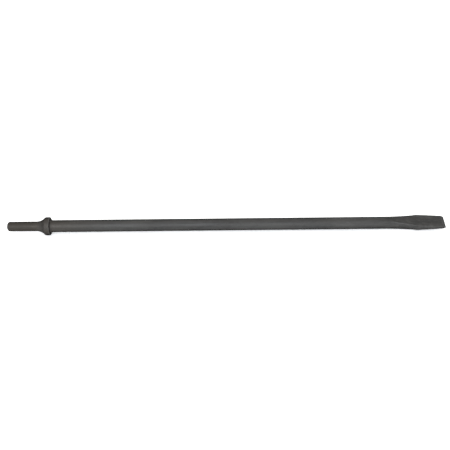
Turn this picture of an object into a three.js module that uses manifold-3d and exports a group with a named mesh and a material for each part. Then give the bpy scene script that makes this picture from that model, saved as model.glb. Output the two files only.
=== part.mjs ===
// Cold chisel for a pneumatic hammer, a single steel forging in millimetres.
// The axis runs along +X from the striking face at the origin to the cutting edge, and the
// blade's wide faces look up and down. The nodes are the zones of the forging, which meet on
// flat planes across the axis.
import * as THREE from 'three';
import { mergeVertices } from 'three/addons/utils/BufferGeometryUtils.js';
import Module from 'manifold-3d';

const wasm = await Module();
wasm.setup();

// Lengths, measured along the axis from the striking face.
const OVERALL_LENGTH = 457.2; // 18 in
const SHANK_END = 29.5;
const FILLET_START = 30.2;
const COLLAR_FRONT = 44.8;
const BAR_START = 47;
const BAR_END = 394;
const FLATS_START = 396;
const BLADE_SHOULDER = 427.7; // the widest place
const BEVEL_START = 454.2;

// Diameters.
const SHANK_DIAMETER = 10.19; // 0.401 in
const COLLAR_DIAMETER = 19.05; // 3/4 in
const BAR_DIAMETER = 12.7; // 1/2 in

// The turned shank and collar.
const STRIKING_CHAMFER = 1.5;
const SHANK_FILLET = 12; // the radius between the shank and the cone
const CONE_ANGLE = 43; // degrees between the cone and the axis
const COLLAR_BACK_RADIUS = 2.2;
const COLLAR_FRONT_RADIUS = 1;
const BAR_FILLET = 0.8;

// The forged blade: its width and thickness where it is widest and where the bevel starts.
const SHOULDER_WIDTH = 17;
const SHOULDER_THICKNESS = 6.5;
const TIP_WIDTH = 15.6;
const TIP_THICKNESS = 3.6;
const SIDE_CROWN_RADIUS = 13; // the bulge of the blade's narrow sides
const EDGE_LAND = 0.3; // the blunt width left along the cutting edge
const FLAT_RUN_OUT = 2.5; // how sharply the flats run out onto the bar
const SIDE_SPREAD = 3.2; // how late the sides spread towards the shoulder
const WEDGE_OVERLAP = 1; // how far the wedge that cuts the bevel reaches behind it

// Fineness of the facets.
const AROUND = 48;
const ARC_STEPS = 5;
const FLARE_STEPS = 12;
const SAME_POINT = 1e-3; // corners nearer together than this are one

const material = (color) => new THREE.MeshStandardMaterial({ color, roughness: 0.6, metalness: 0.8 });

/** Points of a round arc in the plane of a turned profile, from one angle to another in degrees. */
function arc(centreX, centreR, radius, fromDegrees, toDegrees) {
  const points = [];
  for (let i = 0; i <= ARC_STEPS; i++) {
    const angle = THREE.MathUtils.degToRad(fromDegrees + ((toDegrees - fromDegrees) * i) / ARC_STEPS);
    points.push([centreX + radius * Math.cos(angle), centreR + radius * Math.sin(angle)]);
  }
  return points;
}

/** A solid of revolution about X from [x, radius] pairs, closed by flat faces at both ends. */
function turned(profile) {
  const first = profile[0];
  const last = profile[profile.length - 1];
  const closed = [[first[0], 0], ...profile, [last[0], 0]];
  const points = closed.map(([x, r]) => new THREE.Vector2(r, x));
  return new THREE.LatheGeometry(points, AROUND).rotateZ(-Math.PI / 2);
}

/** One named zone of the forging. */
function zone(name, geometry, color) {
  const mesh = new THREE.Mesh(geometry, material(color));
  mesh.name = name;
  return mesh;
}

function shank() {
  const radius = SHANK_DIAMETER / 2;
  return zone('shank', turned([
    [0, radius - STRIKING_CHAMFER],
    [STRIKING_CHAMFER, radius],
    [SHANK_END, radius],
  ]), 0x52504b);
}

function collar() {
  const shankRadius = SHANK_DIAMETER / 2;
  const collarRadius = COLLAR_DIAMETER / 2;
  const barRadius = BAR_DIAMETER / 2;
  const slope = THREE.MathUtils.degToRad(CONE_ANGLE);
  const fillet = arc(FILLET_START, shankRadius + SHANK_FILLET, SHANK_FILLET, -90, CONE_ANGLE - 90);
  // The cone leaves the fillet in line with it, and meets the rounded back of the collar in line.
  const [coneStart, coneStartRadius] = fillet[fillet.length - 1];
  const coneEndRadius = collarRadius - COLLAR_BACK_RADIUS * (1 - Math.cos(slope));
  const coneEnd = coneStart + (coneEndRadius - coneStartRadius) / Math.tan(slope);
  return zone('collar', turned([
    [SHANK_END, shankRadius],
    ...fillet,
    ...arc(coneEnd + COLLAR_BACK_RADIUS * Math.sin(slope), collarRadius - COLLAR_BACK_RADIUS,
      COLLAR_BACK_RADIUS, 90 + CONE_ANGLE, 90),
    ...arc(COLLAR_FRONT - COLLAR_FRONT_RADIUS, collarRadius - COLLAR_FRONT_RADIUS,
      COLLAR_FRONT_RADIUS, 90, 0),
    ...arc(COLLAR_FRONT + BAR_FILLET, barRadius + BAR_FILLET, BAR_FILLET, 180, 270),
    [BAR_START, barRadius],
  ]), 0x57554f);
}

function bar() {
  const radius = BAR_DIAMETER / 2;
  return zone('bar', turned([[BAR_START, radius], [BAR_END, radius]]), 0x58585a);
}

/**
 * A cross-section of the flattened end as [y, z] points: two flats joined by bulging sides.
 * Each side is an arc of sideRadius, so a section as wide and thick as the bar, with the bar's
 * own radius, is the bar's circle.
 */
function bladeSection(width, thickness, sideRadius) {
  const points = [];
  const halfAngle = Math.asin(Math.min(1, thickness / 2 / sideRadius));
  const steps = AROUND / 2;
  for (const side of [1, -1]) {
    for (let i = 0; i <= steps; i++) {
      const angle = halfAngle * ((2 * i) / steps - 1);
      const reach = width / 2 - sideRadius + sideRadius * Math.cos(angle);
      points.push([side * reach, side * sideRadius * Math.sin(angle)]);
    }
  }
  return points;
}

/** A closed solid through sections of equal point count, [x, section] pairs in order of x. */
function lofted(stations) {
  const count = stations[0][1].length;
  const position = [];
  const index = [];
  for (const [x, section] of stations) {
    for (const [y, z] of section) position.push(x, y, z);
  }
  for (let s = 0; s < stations.length - 1; s++) {
    for (let i = 0; i < count; i++) {
      const a = s * count + i;
      const b = s * count + ((i + 1) % count);
      index.push(a, b, a + count, b, b + count, a + count);
    }
  }
  const lastRing = (stations.length - 1) * count;
  for (let i = 1; i < count - 1; i++) {
    index.push(0, i + 1, i);
    index.push(lastRing, lastRing + i, lastRing + i + 1);
  }
  const geometry = new THREE.BufferGeometry();
  geometry.setAttribute('position', new THREE.Float32BufferAttribute(position, 3));
  geometry.setIndex(index);
  return withoutSlivers(mergeVertices(geometry, SAME_POINT));
}

/** The geometry without the triangles whose corners have merged. */
function withoutSlivers(geometry) {
  const old = geometry.index.array;
  const kept = [];
  for (let i = 0; i < old.length; i += 3) {
    const [a, b, c] = [old[i], old[i + 1], old[i + 2]];
    if (a !== b && b !== c && c !== a) kept.push(a, b, c);
  }
  geometry.setIndex(kept);
  geometry.computeVertexNormals();
  return geometry;
}

/**
 * The blade's section at a share of the way from its start to its shoulder. The thickness joins
 * the straight taper of the flats behind the tip, and the sides spread late, near the shoulder.
 */
function flareSection(along) {
  const { lerp } = THREE.MathUtils;
  const taper = (SHOULDER_THICKNESS - TIP_THICKNESS) / (BEVEL_START - BLADE_SHOULDER);
  const taperRise = taper * (BLADE_SHOULDER - FLATS_START);
  const left = 1 - along;
  const flareRise = BAR_DIAMETER - SHOULDER_THICKNESS - taperRise;
  const thickness = SHOULDER_THICKNESS + taperRise * left + flareRise * left ** FLAT_RUN_OUT;
  return bladeSection(
    lerp(BAR_DIAMETER, SHOULDER_WIDTH, along ** SIDE_SPREAD),
    thickness,
    lerp(BAR_DIAMETER / 2, SIDE_CROWN_RADIUS, along ** 2),
  );
}

function blade() {
  const stations = [[BAR_END, flareSection(0)]];
  for (let i = 0; i <= FLARE_STEPS; i++) {
    const along = i / FLARE_STEPS;
    stations.push([THREE.MathUtils.lerp(FLATS_START, BLADE_SHOULDER, along), flareSection(along)]);
  }
  stations.push([BEVEL_START, bladeSection(TIP_WIDTH, TIP_THICKNESS, SIDE_CROWN_RADIUS)]);
  return zone('blade', lofted(stations), 0x4b4a48);
}

/** The merged positions of a closed geometry as a solid for cutting. */
function asSolid(geometry) {
  geometry.deleteAttribute('normal');
  geometry.deleteAttribute('uv');
  const merged = mergeVertices(geometry, SAME_POINT);
  return new wasm.Manifold(new wasm.Mesh({
    numProp: 3,
    vertProperties: new Float32Array(merged.attributes.position.array),
    triVerts: new Uint32Array(merged.index.array),
  }));
}

function asGeometry(solid) {
  const { vertProperties, triVerts } = solid.getMesh();
  const geometry = new THREE.BufferGeometry();
  geometry.setAttribute('position', new THREE.BufferAttribute(vertProperties, 3));
  geometry.setIndex(new THREE.BufferAttribute(triVerts, 1));
  geometry.computeVertexNormals();
  return geometry;
}

/** The space between the two ground faces of the bevel, longer and wider than the blank. */
function bevelWedge() {
  const slope = (TIP_THICKNESS - EDGE_LAND) / 2 / (OVERALL_LENGTH - BEVEL_START);
  const back = BEVEL_START - WEDGE_OVERLAP;
  const halfBack = TIP_THICKNESS / 2 + slope * WEDGE_OVERLAP;
  // It runs on past the cutting edge until it is half as thick as the land.
  const halfFront = EDGE_LAND / 4;
  const front = OVERALL_LENGTH + (EDGE_LAND / 2 - halfFront) / slope;
  const outline = new THREE.Shape([
    new THREE.Vector2(back, -halfBack),
    new THREE.Vector2(front, -halfFront),
    new THREE.Vector2(front, halfFront),
    new THREE.Vector2(back, halfBack),
  ]);
  const depth = 2 * TIP_WIDTH;
  const wedge = new THREE.ExtrudeGeometry(outline, { depth, bevelEnabled: false });
  return wedge.translate(0, 0, -depth / 2).rotateX(Math.PI / 2);
}

function cuttingEdge() {
  const section = bladeSection(TIP_WIDTH, TIP_THICKNESS, SIDE_CROWN_RADIUS);
  const blank = lofted([[BEVEL_START, section], [OVERALL_LENGTH, section]]);
  const ground = asSolid(blank).intersect(asSolid(bevelWedge()));
  return zone('cutting_edge', asGeometry(ground), 0x6a6a6a);
}

const chisel = new THREE.Group();
chisel.add(shank(), collar(), bar(), blade(), cuttingEdge());

export default chisel;
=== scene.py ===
"""Looks of the air-hammer cold chisel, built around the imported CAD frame, in metres.

The forging's whole skin is one grid of points: rings across the axis, each with the same number
of points around. The grid is cut at the CAD zones' planes into one closed piece per zone, so the
pieces meet exactly. One steel finish runs on across them, up to the ground bevel.
"""
import math
import random

import bpy
import numpy as np
from mathutils import Matrix, Vector, noise


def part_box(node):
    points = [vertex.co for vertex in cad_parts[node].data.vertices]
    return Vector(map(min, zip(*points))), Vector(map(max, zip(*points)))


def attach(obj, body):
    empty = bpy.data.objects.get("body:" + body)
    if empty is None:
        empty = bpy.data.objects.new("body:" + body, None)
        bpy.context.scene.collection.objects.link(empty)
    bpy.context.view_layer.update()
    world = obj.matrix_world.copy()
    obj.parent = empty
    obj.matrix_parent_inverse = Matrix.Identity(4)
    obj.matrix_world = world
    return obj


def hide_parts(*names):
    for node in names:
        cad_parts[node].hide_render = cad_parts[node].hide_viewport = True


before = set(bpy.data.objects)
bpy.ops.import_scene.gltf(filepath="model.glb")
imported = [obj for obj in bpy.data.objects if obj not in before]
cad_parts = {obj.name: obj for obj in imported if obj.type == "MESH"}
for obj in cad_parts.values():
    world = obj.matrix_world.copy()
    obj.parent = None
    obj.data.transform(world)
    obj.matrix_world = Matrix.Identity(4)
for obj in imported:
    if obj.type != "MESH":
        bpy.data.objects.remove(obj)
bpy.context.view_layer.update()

MM = 0.001

# ---- the frame's sizes ----
shank_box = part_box("shank")
collar_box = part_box("collar")
bar_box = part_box("bar")
blade_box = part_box("blade")
edge_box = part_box("cutting_edge")

SHANK_RADIUS = shank_box[1].z
COLLAR_RADIUS = collar_box[1].z
BAR_RADIUS = bar_box[1].z
SHANK_END = shank_box[1].x
BAR_START = bar_box[0].x
BAR_END = bar_box[1].x
BEVEL_START = edge_box[0].x
LENGTH = edge_box[1].x
SHOULDER_WIDTH = 2 * blade_box[1].y
TIP_WIDTH = 2 * edge_box[1].y
TIP_THICKNESS = 2 * edge_box[1].z

# ---- the forging's shape, as in CAD ----
STRIKING_CHAMFER = 1.5 * MM
FILLET_START = 30.2 * MM
SHANK_FILLET = 12 * MM
CONE_ANGLE = math.radians(43)
COLLAR_FRONT = 44.8 * MM
COLLAR_BACK_RADIUS = 2.2 * MM
COLLAR_FRONT_RADIUS = 1.0 * MM
BAR_FILLET = 0.8 * MM
FLATS_START = 396 * MM
BLADE_SHOULDER = 427.7 * MM
SHOULDER_THICKNESS = 6.5 * MM
SIDE_CROWN_RADIUS = 13 * MM
EDGE_LAND = 0.3 * MM
FLAT_RUN_OUT = 2.5
SIDE_SPREAD = 3.2

# ---- rounding beyond the CAD shape ----
CHAMFER_ROUNDING = 0.5 * MM
TIP_CORNER_RADIUS = 0.25 * MM
SHOULDER_EASE = 0.5 * MM
# How far the flats' edges round off, as a share of the half section: where the flats start, how
# much more at the shoulder, and at the bevel.
FLATS_START_SOFTNESS = 0.004
BLADE_EDGE_SOFTNESS = 0.09
BEVEL_EDGE_SOFTNESS = 0.02

# ---- marks of forging and handling ----
FORGED_FADE = 8 * MM  # how soon they come up past the bar's start
BLADE_FADE = 14 * MM  # how soon the blade's own marks come up past the start of the flats
BEVEL_FADE = MM  # how soon both fade before the bevel
WAVE_HEIGHT = 0.014 * MM
WAVE_SIZE = 6 * MM
WAVE_SQUEEZE = np.array([0.4, 1, 1])  # makes the waves longer along the axis
RIPPLE_HEIGHT = 0.008 * MM
RIPPLE_SIZE = 1.6 * MM
PRESS_MARK_HEIGHT = 0.05 * MM
PRESS_MARK_SIZE = 7 * MM
FLASH_HEIGHT = 0.09 * MM
FLASH_HALF_WIDTH = 0.35 * MM
FLASH_SIDES = (5 * MM, 6 * MM)  # how far off the axis the flash comes up
FLASH_PATCH_SIZE = 3 * MM
FLASH_UNEVENNESS = 0.3
DENT_SEED = 11
DENTS = 16
DENT_RADII = (0.8 * MM, 2.2 * MM)
DENT_DEPTHS = (0.05 * MM, 0.14 * MM)
DENTS_START = BAR_START + 4 * MM
DENTS_END = BEVEL_START - 2 * MM
# How sharply an edge or a hollow bends, per millimetre, where its wear or the painted shade in it starts
# to show and where it shows in full.
WORN_BENDS = (0.3, 1.6)
HOLLOW_BENDS = (0.15, 0.7)

# ---- fineness of the grid ----
AROUND = 160
ARC_STEP = math.radians(4)
SHANK_GAP = 0.5 * MM
BAR_GAP = 0.8 * MM
BLADE_GAP = 0.35 * MM
BEVEL_GAP = 0.12 * MM
SMOOTH_ANGLE = math.radians(32)  # faces that meet at less than this are shaded as one surface
TINY = 1e-6  # what counts as no length, in metres
NOT_ZERO = 1e-20  # keeps a division by a length from failing

TURN = np.linspace(0, 2 * math.pi, AROUND, endpoint=False)


# ---------------------------------------------------------------- the turned half

def turned_profile():
    """[x, radius] corners of the turned part with the radius that rounds each of them."""
    fillet_reach = SHANK_FILLET * math.tan(CONE_ANGLE / 2)
    cone_start = FILLET_START + fillet_reach
    cone_end = cone_start + (COLLAR_RADIUS - SHANK_RADIUS) / math.tan(CONE_ANGLE)
    return [
        ((0, 0), 0),
        ((0, SHANK_RADIUS - STRIKING_CHAMFER), CHAMFER_ROUNDING),
        ((STRIKING_CHAMFER, SHANK_RADIUS), CHAMFER_ROUNDING),
        ((SHANK_END, SHANK_RADIUS), 0),
        ((cone_start, SHANK_RADIUS), SHANK_FILLET),
        ((cone_end, COLLAR_RADIUS), COLLAR_BACK_RADIUS),
        ((COLLAR_FRONT, COLLAR_RADIUS), COLLAR_FRONT_RADIUS),
        ((COLLAR_FRONT, BAR_RADIUS), BAR_FILLET),
        ((BAR_START, BAR_RADIUS), 0),
        ((BAR_END, BAR_RADIUS), 0),
    ]


def rounded_line(corners):
    """The points of a line of corners, with an arc in place of each corner that has a radius."""
    places = [np.array(point, float) for point, _ in corners]
    line = []
    for i, (_, radius) in enumerate(corners):
        here = places[i]
        if radius == 0:
            line.append(here)
            continue
        back = (places[i - 1] - here) / np.linalg.norm(places[i - 1] - here)
        ahead = (places[i + 1] - here) / np.linalg.norm(places[i + 1] - here)
        half = math.acos(np.clip(back @ ahead, -1, 1)) / 2
        middle = (back + ahead) / np.linalg.norm(back + ahead)
        centre = here + middle * radius / math.sin(half)
        reach = radius / math.tan(half)
        start = here + back * reach - centre
        sweep = math.pi - 2 * half
        if back[0] * ahead[1] - back[1] * ahead[0] > 0:
            sweep = -sweep
        steps = max(3, math.ceil(abs(sweep) / ARC_STEP))
        for k in range(steps + 1):
            c = math.cos(sweep * k / steps)
            s = math.sin(sweep * k / steps)
            line.append(centre + np.array([c * start[0] - s * start[1], s * start[0] + c * start[1]]))
    return line


def finely(line):
    """The line with its long stretches divided."""
    fine = [line[0]]
    for a, b in zip(line, line[1:]):
        gap = BAR_GAP if a[0] > BAR_START - MM / 2 else SHANK_GAP
        steps = max(1, math.ceil(np.linalg.norm(b - a) / gap - TINY))
        fine += [a + (b - a) * k / steps for k in range(1, steps + 1)]
    return fine


def round_ring(x, radius):
    return np.stack([np.full(AROUND, x), radius * np.cos(TURN), radius * np.sin(TURN)], axis=1)


# ---------------------------------------------------------------- the flattened half

def soft_least(a, b, softness):
    """The lesser of a and b, rounded off where they are about equal."""
    return np.minimum(a, b) - np.maximum(softness - np.abs(a - b), 0) ** 2 / (4 * softness)


def ramp(x, start, end):
    """0 before start, 1 after end, and smooth in between."""
    t = np.clip((x - start) / (end - start), 0, 1)
    return t * t * (3 - 2 * t)


def thickness_at(x):
    """Between the flats: the straight taper of the blade, rising faster towards the bar."""
    taper = (SHOULDER_THICKNESS - TIP_THICKNESS) / (BEVEL_START - BLADE_SHOULDER)
    flat = SHOULDER_THICKNESS + taper * (BLADE_SHOULDER - x)
    left = max(0, (BLADE_SHOULDER - x) / (BLADE_SHOULDER - FLATS_START))
    flare = 2 * BAR_RADIUS - SHOULDER_THICKNESS - taper * (BLADE_SHOULDER - FLATS_START)
    return flat + flare * left ** FLAT_RUN_OUT


def width_at(x):
    """Across the narrow sides: spreading late to the shoulder, then tapering a little."""
    along = max(0, (x - FLATS_START) / (BLADE_SHOULDER - FLATS_START))
    flare = 2 * BAR_RADIUS + (SHOULDER_WIDTH - 2 * BAR_RADIUS) * along ** SIDE_SPREAD
    taper = (SHOULDER_WIDTH - TIP_WIDTH) / (BEVEL_START - BLADE_SHOULDER)
    tapering = SHOULDER_WIDTH - taper * (min(x, BEVEL_START) - BLADE_SHOULDER)
    width = float(soft_least(flare, tapering, SHOULDER_EASE))
    past = float(np.clip(x - (LENGTH - TIP_CORNER_RADIUS), 0, TIP_CORNER_RADIUS))
    corner = TIP_CORNER_RADIUS - math.sqrt(TIP_CORNER_RADIUS ** 2 - past ** 2)
    return width - 2 * corner


def flattened_ring(x):
    """A section of the blade: bulging sides cut by the two flats, and by the bevel near the edge."""
    half_width = width_at(x) / 2
    half_thickness = min(thickness_at(x) / 2, BAR_RADIUS)
    along = float(np.clip((x - FLATS_START) / (BLADE_SHOULDER - FLATS_START), 0, 1))
    side_radius = BAR_RADIUS + (SIDE_CROWN_RADIUS - BAR_RADIUS) * along ** 2
    y = half_width * np.cos(TURN)
    z = half_thickness * np.sin(TURN)
    # How far along each direction the side's arc lies, from the arc's quadratic.
    setback = side_radius - half_width
    a = y ** 2 + z ** 2
    b = 2 * np.abs(y) * setback
    c = setback ** 2 - side_radius ** 2
    to_side = (-b + np.sqrt(b ** 2 - 4 * a * c)) / (2 * a)
    to_flat = 1 / np.maximum(np.abs(np.sin(TURN)), NOT_ZERO)
    softness = FLATS_START_SOFTNESS + BLADE_EDGE_SOFTNESS * along
    reach = soft_least(to_side, to_flat, softness)
    if x > BEVEL_START:
        share = (x - BEVEL_START) / (LENGTH - BEVEL_START)
        half_bevel = TIP_THICKNESS / 2 + (EDGE_LAND / 2 - TIP_THICKNESS / 2) * share
        reach = soft_least(reach, to_flat * half_bevel / half_thickness, BEVEL_EDGE_SOFTNESS)
    return np.stack([np.full(AROUND, x), y * reach, z * reach], axis=1)


def spaced(start, end, gap):
    """Places after start, up to end."""
    steps = math.ceil((end - start) / gap)
    return [start + (end - start) * k / steps for k in range(1, steps + 1)]


# ---------------------------------------------------------------- wear of forging and handling

def outward(grid):
    """The grid's unit normals."""
    along = np.gradient(grid, axis=0)
    around = np.roll(grid, -1, axis=1) - np.roll(grid, 1, axis=1)
    normal = np.cross(around, along)
    length = np.linalg.norm(normal, axis=2, keepdims=True)
    return np.where(length > 0, normal / np.maximum(length, NOT_ZERO), [-1.0, 0, 0])


def bend_of(grid, normal):
    """How sharply the surface bends at each point, per millimetre: convex above 0, hollow below."""
    def one_way(before, after):
        step_in = grid - before
        step_out = after - grid
        long_in = np.linalg.norm(step_in, axis=2)
        long_out = np.linalg.norm(step_out, axis=2)
        turn = step_out / np.maximum(long_out, NOT_ZERO)[..., None]
        turn = turn - step_in / np.maximum(long_in, NOT_ZERO)[..., None]
        return -(turn * normal).sum(2) / np.maximum(long_in + long_out, NOT_ZERO) * 2 * MM
    before = np.concatenate([grid[:1], grid[:-1]])
    after = np.concatenate([grid[1:], grid[-1:]])
    along = one_way(before, after)
    along[0] = along[-1] = 0
    around = one_way(np.roll(grid, 1, axis=1), np.roll(grid, -1, axis=1))
    return np.maximum(along, around), np.minimum(along, around)


def lumps(grid, size):
    """Smooth noise from -1 to 1 at each point of the grid, with features about size across."""
    flat = grid.reshape(-1, 3) / size
    return np.array([noise.noise(Vector(p)) for p in flat]).reshape(grid.shape[:2])


def dents(grid):
    """The depth of small handling dents at each point of the grid."""
    draw = random.Random(DENT_SEED)
    depth = np.zeros(grid.shape[:2])
    rows = np.where((grid[:, 0, 0] >= DENTS_START) & (grid[:, 0, 0] <= DENTS_END))[0]
    for _ in range(DENTS):
        centre = grid[draw.choice(list(rows)), draw.randrange(AROUND)]
        radius = draw.uniform(*DENT_RADII)
        deep = draw.uniform(*DENT_DEPTHS)
        away = ((grid - centre) ** 2).sum(2) / radius ** 2
        depth = np.maximum(depth, deep * np.clip(1 - away, 0, 1) ** 2)
    return depth


def worked(grid):
    """The grid with the marks of forging: wavy skin, press marks, trimmed flash and dents."""
    normal = outward(grid)
    x = grid[:, :, 0]
    y = grid[:, :, 1]
    z = grid[:, :, 2]
    unground = 1 - ramp(x, BEVEL_START - BEVEL_FADE, BEVEL_START)
    forged = ramp(x, BAR_START, BAR_START + FORGED_FADE) * unground
    blade = ramp(x, FLATS_START, FLATS_START + BLADE_FADE) * unground
    height = WAVE_HEIGHT * lumps(grid * WAVE_SQUEEZE, WAVE_SIZE) * forged
    height += RIPPLE_HEIGHT * lumps(grid, RIPPLE_SIZE) * forged
    # The added offsets give each kind of lump a pattern of its own.
    height += PRESS_MARK_HEIGHT * lumps(grid + 0.1, PRESS_MARK_SIZE) * blade
    # The flash that the dies leave along the blade's narrow sides, trimmed to a low rib.
    rib = np.exp(-(z / FLASH_HALF_WIDTH) ** 2) * ramp(np.abs(y), *FLASH_SIDES)
    patches = 1 - FLASH_UNEVENNESS + FLASH_UNEVENNESS * lumps(grid + 0.3, FLASH_PATCH_SIZE)
    height += FLASH_HEIGHT * rib * blade * patches
    height -= dents(grid)
    return grid + normal * height[..., None]


# ---------------------------------------------------------------- grid to pieces

def whole_skin():
    """The forging's rings, from the striking face's centre to the cutting edge."""
    rings = [round_ring(x, radius) for x, radius in finely(rounded_line(turned_profile()))]
    stations = spaced(BAR_END, FLATS_START, BLADE_GAP)
    stations += spaced(FLATS_START, BEVEL_START, BLADE_GAP)
    stations += spaced(BEVEL_START, LENGTH, BEVEL_GAP)
    rings += [flattened_ring(x) for x in stations]
    return np.array(rings)


def cap_faces(first, outwards_forward):
    """Strips across one ring, from its upper points to its lower ones."""
    faces = []
    for j in range(AROUND // 2):
        a = first + j
        b = first + j + 1
        c = first + (AROUND - j - 1) % AROUND
        d = first + (AROUND - j) % AROUND
        face = [v for k, v in enumerate((a, b, c, d)) if v not in (a, b, c, d)[:k]]
        if len(face) > 2:
            faces.append(face if outwards_forward else face[::-1])
    return faces


def piece(name, node, grid, wear, hollow, material):
    """One closed piece. Its first ring gets a cap unless it is a point, and its last one always does."""
    rows = len(grid)
    faces = []
    for i in range(rows - 1):
        for j in range(AROUND):
            a = i * AROUND + j
            b = i * AROUND + (j + 1) % AROUND
            faces.append([a, a + AROUND, b + AROUND, b])
    if np.ptp(grid[0], axis=0).max() > TINY:
        faces += cap_faces(0, False)
    faces += cap_faces((rows - 1) * AROUND, True)
    mesh = bpy.data.meshes.new(name)
    mesh.from_pydata(grid.reshape(-1, 3).tolist(), [], faces)
    for label, values in (("wear", wear), ("hollow", hollow)):
        layer = mesh.attributes.new(label, "FLOAT", "POINT")
        layer.data.foreach_set("value", values.astype(np.float32).ravel())
    mesh.shade_smooth()
    mesh.set_sharp_from_angle(angle=SMOOTH_ANGLE)
    mesh.materials.append(material)
    obj = bpy.data.objects.new(name, mesh)
    bpy.context.scene.collection.objects.link(obj)
    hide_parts(node)
    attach(obj, "root")
    return obj


# ---------------------------------------------------------------- materials

FACING_DENSITY = 0.8  # how close turning marks lie on a face across the axis, against one along it


class Shader:
    """A material's node tree, with short calls for the nodes that the finishes are made of."""

    def __init__(self, name):
        self.material = bpy.data.materials.new(name)
        self.material.use_nodes = True
        self.tree = self.material.node_tree
        self.principled = self.tree.nodes["Principled BSDF"]
        self.place = self.node("ShaderNodeTexCoord").outputs["Object"]

    def node(self, kind, inputs=None, **settings):
        made = self.tree.nodes.new(kind)
        for key, value in settings.items():
            setattr(made, key, value)
        for key, value in (inputs or {}).items():
            self.feed(made.inputs[key], value)
        return made

    def feed(self, socket, value):
        if isinstance(value, bpy.types.NodeSocket):
            self.tree.links.new(value, socket)
        else:
            socket.default_value = value

    def math(self, operation, a, b):
        made = self.node("ShaderNodeMath", {0: a, 1: b}, operation=operation)
        return made.outputs[0]

    def axis(self, letter):
        split = self.node("ShaderNodeSeparateXYZ", {0: self.place})
        return split.outputs[letter]

    def scaled(self, x, y, z):
        """The place, multiplied per axis, so a noise over it can stretch one way."""
        made = self.node("ShaderNodeVectorMath", {0: self.place, 1: (x, y, z)}, operation="MULTIPLY")
        return made.outputs[0]

    def noise(self, vector, detail, roughness=0.55):
        inputs = {"Vector": vector, "Scale": 1.0, "Detail": detail, "Roughness": roughness}
        return self.node("ShaderNodeTexNoise", inputs).outputs["Fac"]

    def grooves(self, per_metre, detail=2.0):
        """Rings about the axis, along the round faces and across the flat ones: a turning tool's marks."""
        off_axis = self.node("ShaderNodeVectorMath", {0: self.scaled(0, 1, 1)}, operation="LENGTH")
        across = self.math("MULTIPLY", off_axis.outputs["Value"], FACING_DENSITY)
        run = self.math("ADD", self.axis("X"), across)
        inputs = {"W": self.math("MULTIPLY", run, per_metre), "Scale": 1.0, "Detail": detail}
        return self.node("ShaderNodeTexNoise", inputs, noise_dimensions="1D").outputs["Fac"]

    def between(self, value, low, high, to_low=0.0, to_high=1.0):
        """value, which goes from low to high, spread smoothly from to_low to to_high."""
        made = self.node("ShaderNodeMapRange", {
            "Value": value, "From Min": low, "From Max": high, "To Min": to_low, "To Max": to_high,
        }, interpolation_type="SMOOTHSTEP")
        return made.outputs["Result"]

    def attribute(self, name):
        return self.node("ShaderNodeAttribute", attribute_name=name).outputs["Fac"]

    def mixed(self, share, a, b, blend="MIX"):
        made = self.node("ShaderNodeMix", data_type="RGBA", blend_type=blend)
        self.feed(made.inputs[0], share)
        self.feed(made.inputs[6], a)
        self.feed(made.inputs[7], b)
        return made.outputs[2]

    def over(self, colour, mask, amount, tone):
        """The colour with an amount of tone laid over it where the mask is 1."""
        return self.mixed(self.math("MULTIPLY", mask, amount), colour, tone)

    def bump(self, height, distance, strength, under=None):
        inputs = {"Height": height, "Distance": distance, "Strength": strength}
        if under is not None:
            inputs["Normal"] = under
        return self.node("ShaderNodeBump", inputs).outputs["Normal"]


def grey(value, warmth=0.0):
    """A grey as a linear colour, with more red and less blue for warmth above 0."""
    return (value * (1 + warmth), value, value * (1 - warmth), 1)


# ---- the oxidised steel's tones ----
DARK_OXIDE = grey(0.037)
PALE_OXIDE = grey(0.054, 0.02)
MILL_SCALE = grey(0.07)
ROLLED_STREAK = grey(0.068, -0.03)
DRAWN_LINE = grey(0.03, 0.03)
GROOVE_CREST = grey(0.075, 0.03)
FLAKED_PATCH = grey(0.072, 0.03)
GRAIN_SHADE = grey(0.03)
PIT_SHADE = grey(0.018, 0.1)
TEMPER_BROWN = grey(0.045, 0.16)
CONE_PAINTED_LIGHT = grey(0.08)
RIM_PAINTED_SHADE = grey(0.028)
HOLLOW_PAINTED_SHADE = grey(0.02)
SCUFF = grey(0.13)
WORN_EDGE = grey(0.095, 0.01)

# ---- the ground bevel's tones ----
SCRATCH_FLOOR = grey(0.03)
SCRATCH_CREST = grey(0.052, 0.01)
BEVEL_STAIN = grey(0.027, 0.04)
BEVEL_WORN_EDGE = grey(0.11)

# ---- where the looks change along the axis ----
TURNED_FADE = 3 * MM
ROLLED_START = COLLAR_FRONT + MM
ROLLED_FULL = COLLAR_FRONT + 6 * MM
FORGED_LOOK_FADE = 16 * MM
BROWN_START = 10 * MM
BROWN_END = 120 * MM
SHANK_DARKNESS = 0.83
SHANK_BLEND = 6 * MM  # on both sides of the shank's end
CONE_LIGHT_FADE = 5 * MM
RIM_START = COLLAR_FRONT - 6 * MM
RIM_FADE = 2 * MM


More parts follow.
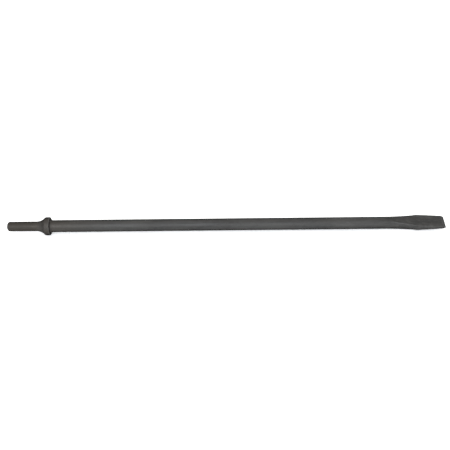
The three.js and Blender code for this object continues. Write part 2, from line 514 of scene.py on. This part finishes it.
def oxidised_steel():
    """Dark heat-treatment oxide over turned, rolled and forged steel."""
    s = Shader("oxidised_steel")
    x = s.axis("X")
    # Where each way of working shows, along the axis.
    turned = s.between(x, COLLAR_FRONT, COLLAR_FRONT + TURNED_FADE, 1.0, 0.0)
    unturned = s.math("SUBTRACT", 1.0, turned)
    rolled = s.between(x, ROLLED_START, ROLLED_FULL)
    forged = s.between(x, FLATS_START, FLATS_START + FORGED_LOOK_FADE)

    # Patterns: how many features a metre along, across and up, then their detail and roughness.
    clouds = s.noise(s.scaled(24, 110, 110), 5.0, 0.6)
    scale = s.noise(s.scaled(220, 700, 700), 5.0, 0.62)
    grain = s.noise(s.scaled(2600, 2600, 2600), 3.0, 0.6)
    spots = s.noise(s.scaled(1000, 1000, 1000), 3.0, 0.5)
    streaks = s.noise(s.scaled(18, 620, 620), 4.0, 0.6)
    drawn = s.noise(s.scaled(45, 2400, 2400), 3.0, 0.6)
    grooves = s.grooves(2600)
    fine_grooves = s.grooves(8000, 3.0)
    # Patches where the oxide has flaked off the forged faces, with crisp edges.
    flakes = s.between(s.noise(s.scaled(190, 330, 330), 6.0, 0.6), 0.55, 0.58)
    flakes = s.math("MULTIPLY", flakes, forged)
    pits = s.math("MULTIPLY", s.between(spots, 0.64, 0.72), unturned)
    # Short bright scuffs, in groups, from lying among other tools.
    scuffs = s.between(s.noise(s.scaled(210, 2300, 2300), 3.0, 0.5), 0.66, 0.71)
    scuffs = s.math("MULTIPLY", scuffs, unturned)
    scuffs = s.math("MULTIPLY", scuffs, s.between(clouds, 0.46, 0.6))

    colour = s.mixed(s.between(clouds, 0.3, 0.7), DARK_OXIDE, PALE_OXIDE)
    colour = s.mixed(s.between(scale, 0.42, 0.68, 0.0, 0.55), colour, MILL_SCALE)
    colour = s.over(colour, s.between(streaks, 0.45, 0.75, 0.0, 0.45), rolled, ROLLED_STREAK)
    colour = s.over(colour, s.between(drawn, 0.5, 0.8, 0.0, 0.5), rolled, DRAWN_LINE)
    colour = s.over(colour, s.between(fine_grooves, 0.45, 0.7, 0.0, 0.45), turned, GROOVE_CREST)
    colour = s.over(colour, flakes, 0.35, FLAKED_PATCH)
    colour = s.mixed(s.between(grain, 0.5, 0.75, 0.0, 0.5), colour, GRAIN_SHADE)
    colour = s.over(colour, pits, 0.6, PIT_SHADE)
    # Browner from the shank to some way along the bar, and darker on the shank: partly a darker finish of
    # its own, partly painted shade that evens out the key light falling brighter on that end.
    colour = s.mixed(s.between(x, BROWN_START, BROWN_END, 0.6, 0.0), colour, TEMPER_BROWN)
    darker = s.between(x, SHANK_END - SHANK_BLEND, SHANK_END + SHANK_BLEND, SHANK_DARKNESS, 1.0)
    colour = s.mixed(1.0, colour, darker, "MULTIPLY")
    # Painted light makes the cone a little brighter, and painted shade makes the collar's rim darker.
    rim = s.between(x, RIM_START, RIM_START + RIM_FADE)
    painted_cone_light = s.math("SUBTRACT", s.between(x, FILLET_START, FILLET_START + CONE_LIGHT_FADE), rim)
    colour = s.over(colour, painted_cone_light, 0.3, CONE_PAINTED_LIGHT)
    colour = s.over(colour, s.math("MULTIPLY", rim, turned), 0.2, RIM_PAINTED_SHADE)
    # Painted shade: darker in the hollows, such as the fillets, where shade falls.
    colour = s.over(colour, s.attribute("hollow"), 0.15, HOLLOW_PAINTED_SHADE)
    colour = s.over(colour, scuffs, 0.4, SCUFF)
    worn = s.math("MULTIPLY", s.attribute("wear"), s.between(scale, 0.35, 0.6, 0.15, 0.7))
    colour = s.mixed(worn, colour, WORN_EDGE)
    s.feed(s.principled.inputs["Base Color"], colour)

    rough = s.between(scale, 0.3, 0.7, 0.44, 0.6)
    rough = s.math("SUBTRACT", rough, s.math("MULTIPLY", worn, 0.12))
    rough = s.math("SUBTRACT", rough, s.math("MULTIPLY", flakes, 0.05))
    s.feed(s.principled.inputs["Roughness"], rough)
    s.principled.inputs["Metallic"].default_value = 0.95
    s.principled.inputs["Specular Tint"].default_value = grey(0.1)

    skin = s.bump(scale, 0.05 * MM, 0.6)
    skin = s.bump(s.math("MULTIPLY", grain, unturned), 0.035 * MM, 0.8, skin)
    skin = s.bump(s.math("MULTIPLY", streaks, rolled), 0.03 * MM, 0.6, skin)
    skin = s.bump(s.math("MULTIPLY", drawn, rolled), 0.012 * MM, 0.7, skin)
    skin = s.bump(s.math("MULTIPLY", grooves, turned), 0.02 * MM, 0.8, skin)
    skin = s.bump(s.math("MULTIPLY", fine_grooves, turned), 0.008 * MM, 0.9, skin)
    skin = s.bump(flakes, -0.02 * MM, 0.8, skin)
    skin = s.bump(pits, -0.03 * MM, 0.8, skin)
    s.feed(s.principled.inputs["Normal"], skin)
    return s.material


def ground_edge():
    """The bevel: scratched straight back from the edge by the wheel, then darkened."""
    s = Shader("ground_edge")
    scratches = s.noise(s.scaled(160, 5200, 400), 4.0, 0.65)
    broad = s.noise(s.scaled(60, 700, 60), 3.0)
    clouds = s.noise(s.scaled(250, 250, 250), 4.0)
    colour = s.mixed(s.between(scratches, 0.3, 0.7), SCRATCH_FLOOR, SCRATCH_CREST)
    colour = s.mixed(s.between(clouds, 0.45, 0.75, 0.0, 0.5), colour, BEVEL_STAIN)
    colour = s.over(colour, s.attribute("wear"), 0.45, BEVEL_WORN_EDGE)
    s.feed(s.principled.inputs["Base Color"], colour)
    s.feed(s.principled.inputs["Roughness"], s.between(scratches, 0.3, 0.7, 0.36, 0.5))
    s.principled.inputs["Metallic"].default_value = 0.85
    s.principled.inputs["Specular Tint"].default_value = grey(0.6)
    skin = s.bump(scratches, 0.015 * MM, 0.9)
    skin = s.bump(broad, 0.03 * MM, 0.5, skin)
    s.feed(s.principled.inputs["Normal"], skin)
    return s.material


# ---------------------------------------------------------------- the chisel

steel = oxidised_steel()
ground = ground_edge()

plain = whole_skin()
convex, concave = bend_of(plain, outward(plain))
wear = ramp(convex, *WORN_BENDS)
hollow = ramp(-concave, *HOLLOW_BENDS)
skin = worked(plain)

ring_places = plain[:, 0, 0]
ZONES = [
    ("shank_turned", "shank", 0.0, SHANK_END, "oxidised_steel", steel),
    ("retaining_collar", "collar", SHANK_END, BAR_START, "oxidised_steel", steel),
    ("round_bar", "bar", BAR_START, BAR_END, "oxidised_steel", steel),
    ("forged_blade", "blade", BAR_END, BEVEL_START, "oxidised_steel", steel),
    ("ground_cutting_edge", "cutting_edge", BEVEL_START, LENGTH, "ground_edge", ground),
]
for name, node, start, end, slot_name, finish in ZONES:
    first = int(np.argmin(np.abs(ring_places - start)))
    last = int(np.argmin(np.abs(ring_places - end)))
    zone = slice(first, last + 1)
    piece(name, node, skin[zone], wear[zone], hollow[zone], finish)


# ---------------------------------------------------------------- floor, light and camera

FLOOR_SIZE = 12
FLOOR_TOUCH = 3 * MM  # how far behind the collar's front edge the collar rests on the floor
FLOOR_GLOW = 0.25
SKY = 1.1
WARM_WHITE = (1.0, 0.98, 0.95)
COOL_WHITE = (0.92, 0.96, 1.0)
LIGHT_DISTANCE = 1.4
LIGHTS = [  # name, direction, size, power, colour
    ("key_light", (-0.25, -1.0, 1.07), 1.4, 18, COOL_WHITE),
    ("low_light", (0.35, -1.0, 0.05), 0.6, 5, COOL_WHITE),
    ("top_light", (0, 0.4, 1.0), 1.4, 6, WARM_WHITE),
    ("back_light", (0.45, 1.0, 0.1), 0.8, 15, COOL_WHITE),
]

CAMERA_ELEVATION = math.radians(46.5)
CAMERA_DISTANCE = 0.76
CAMERA_ROLL = math.radians(0.6)
CAMERA_AIM = Vector((-1.3 * MM, 0, -MM))  # from the tool's middle
LENS = 58
SENSOR = 36


def floor():
    """A pale floor that the tool lies on: it touches the collar and the bar's far end."""
    collar_touch = Vector((COLLAR_FRONT - FLOOR_TOUCH, 0, -COLLAR_RADIUS))
    slope = math.atan2(COLLAR_RADIUS - BAR_RADIUS, FLATS_START - collar_touch.x)
    bpy.ops.mesh.primitive_plane_add(size=FLOOR_SIZE)
    made = bpy.context.object
    made.name = "floor"
    made.location = collar_touch
    made.rotation_euler = (0, -slope, 0)
    s = Shader("pale_floor")
    s.principled.inputs["Base Color"].default_value = (0.9, 0.9, 0.9, 1)
    s.principled.inputs["Emission Color"].default_value = (*COOL_WHITE, 1)
    s.principled.inputs["Emission Strength"].default_value = FLOOR_GLOW
    s.principled.inputs["Roughness"].default_value = 0.8
    s.principled.inputs["Specular IOR Level"].default_value = 0.1
    made.data.materials.append(s.material)


def softbox(name, target, direction, size, power, colour):
    """A square soft light that shines at target from a direction."""
    lamp = bpy.data.lights.new(name, "AREA")
    lamp.color = colour
    lamp.shape = "SQUARE"
    lamp.size = size
    lamp.energy = power
    made = bpy.data.objects.new(name, lamp)
    away = Vector(direction).normalized()
    made.location = target + away * LIGHT_DISTANCE
    made.rotation_mode = "QUATERNION"
    made.rotation_quaternion = away.to_track_quat("Z", "Y")
    bpy.context.scene.collection.objects.link(made)


def world_light(strength, colour):
    world = bpy.data.worlds.new("studio")
    world.use_nodes = True
    background = world.node_tree.nodes["Background"]
    background.inputs["Color"].default_value = (*colour, 1)
    background.inputs["Strength"].default_value = strength
    bpy.context.scene.world = world


def camera(target):
    lens = bpy.data.cameras.new("camera")
    lens.lens = LENS
    lens.sensor_width = SENSOR
    made = bpy.data.objects.new("camera", lens)
    back = Vector((0, -math.cos(CAMERA_ELEVATION), math.sin(CAMERA_ELEVATION)))
    made.location = target + back * CAMERA_DISTANCE
    look = back.to_track_quat("Z", "Y")
    made.rotation_mode = "QUATERNION"
    made.rotation_quaternion = look @ Matrix.Rotation(-CAMERA_ROLL, 3, "Z").to_quaternion()
    bpy.context.scene.collection.objects.link(made)
    bpy.context.scene.camera = made


middle = Vector((LENGTH / 2, 0, 0))
camera(middle + CAMERA_AIM)
floor()
world_light(SKY, WARM_WHITE)
for name, direction, size, power, colour in LIGHTS:
    softbox(name, middle, direction, size, power, colour)
bpy.context.scene.view_settings.view_transform = "Standard"
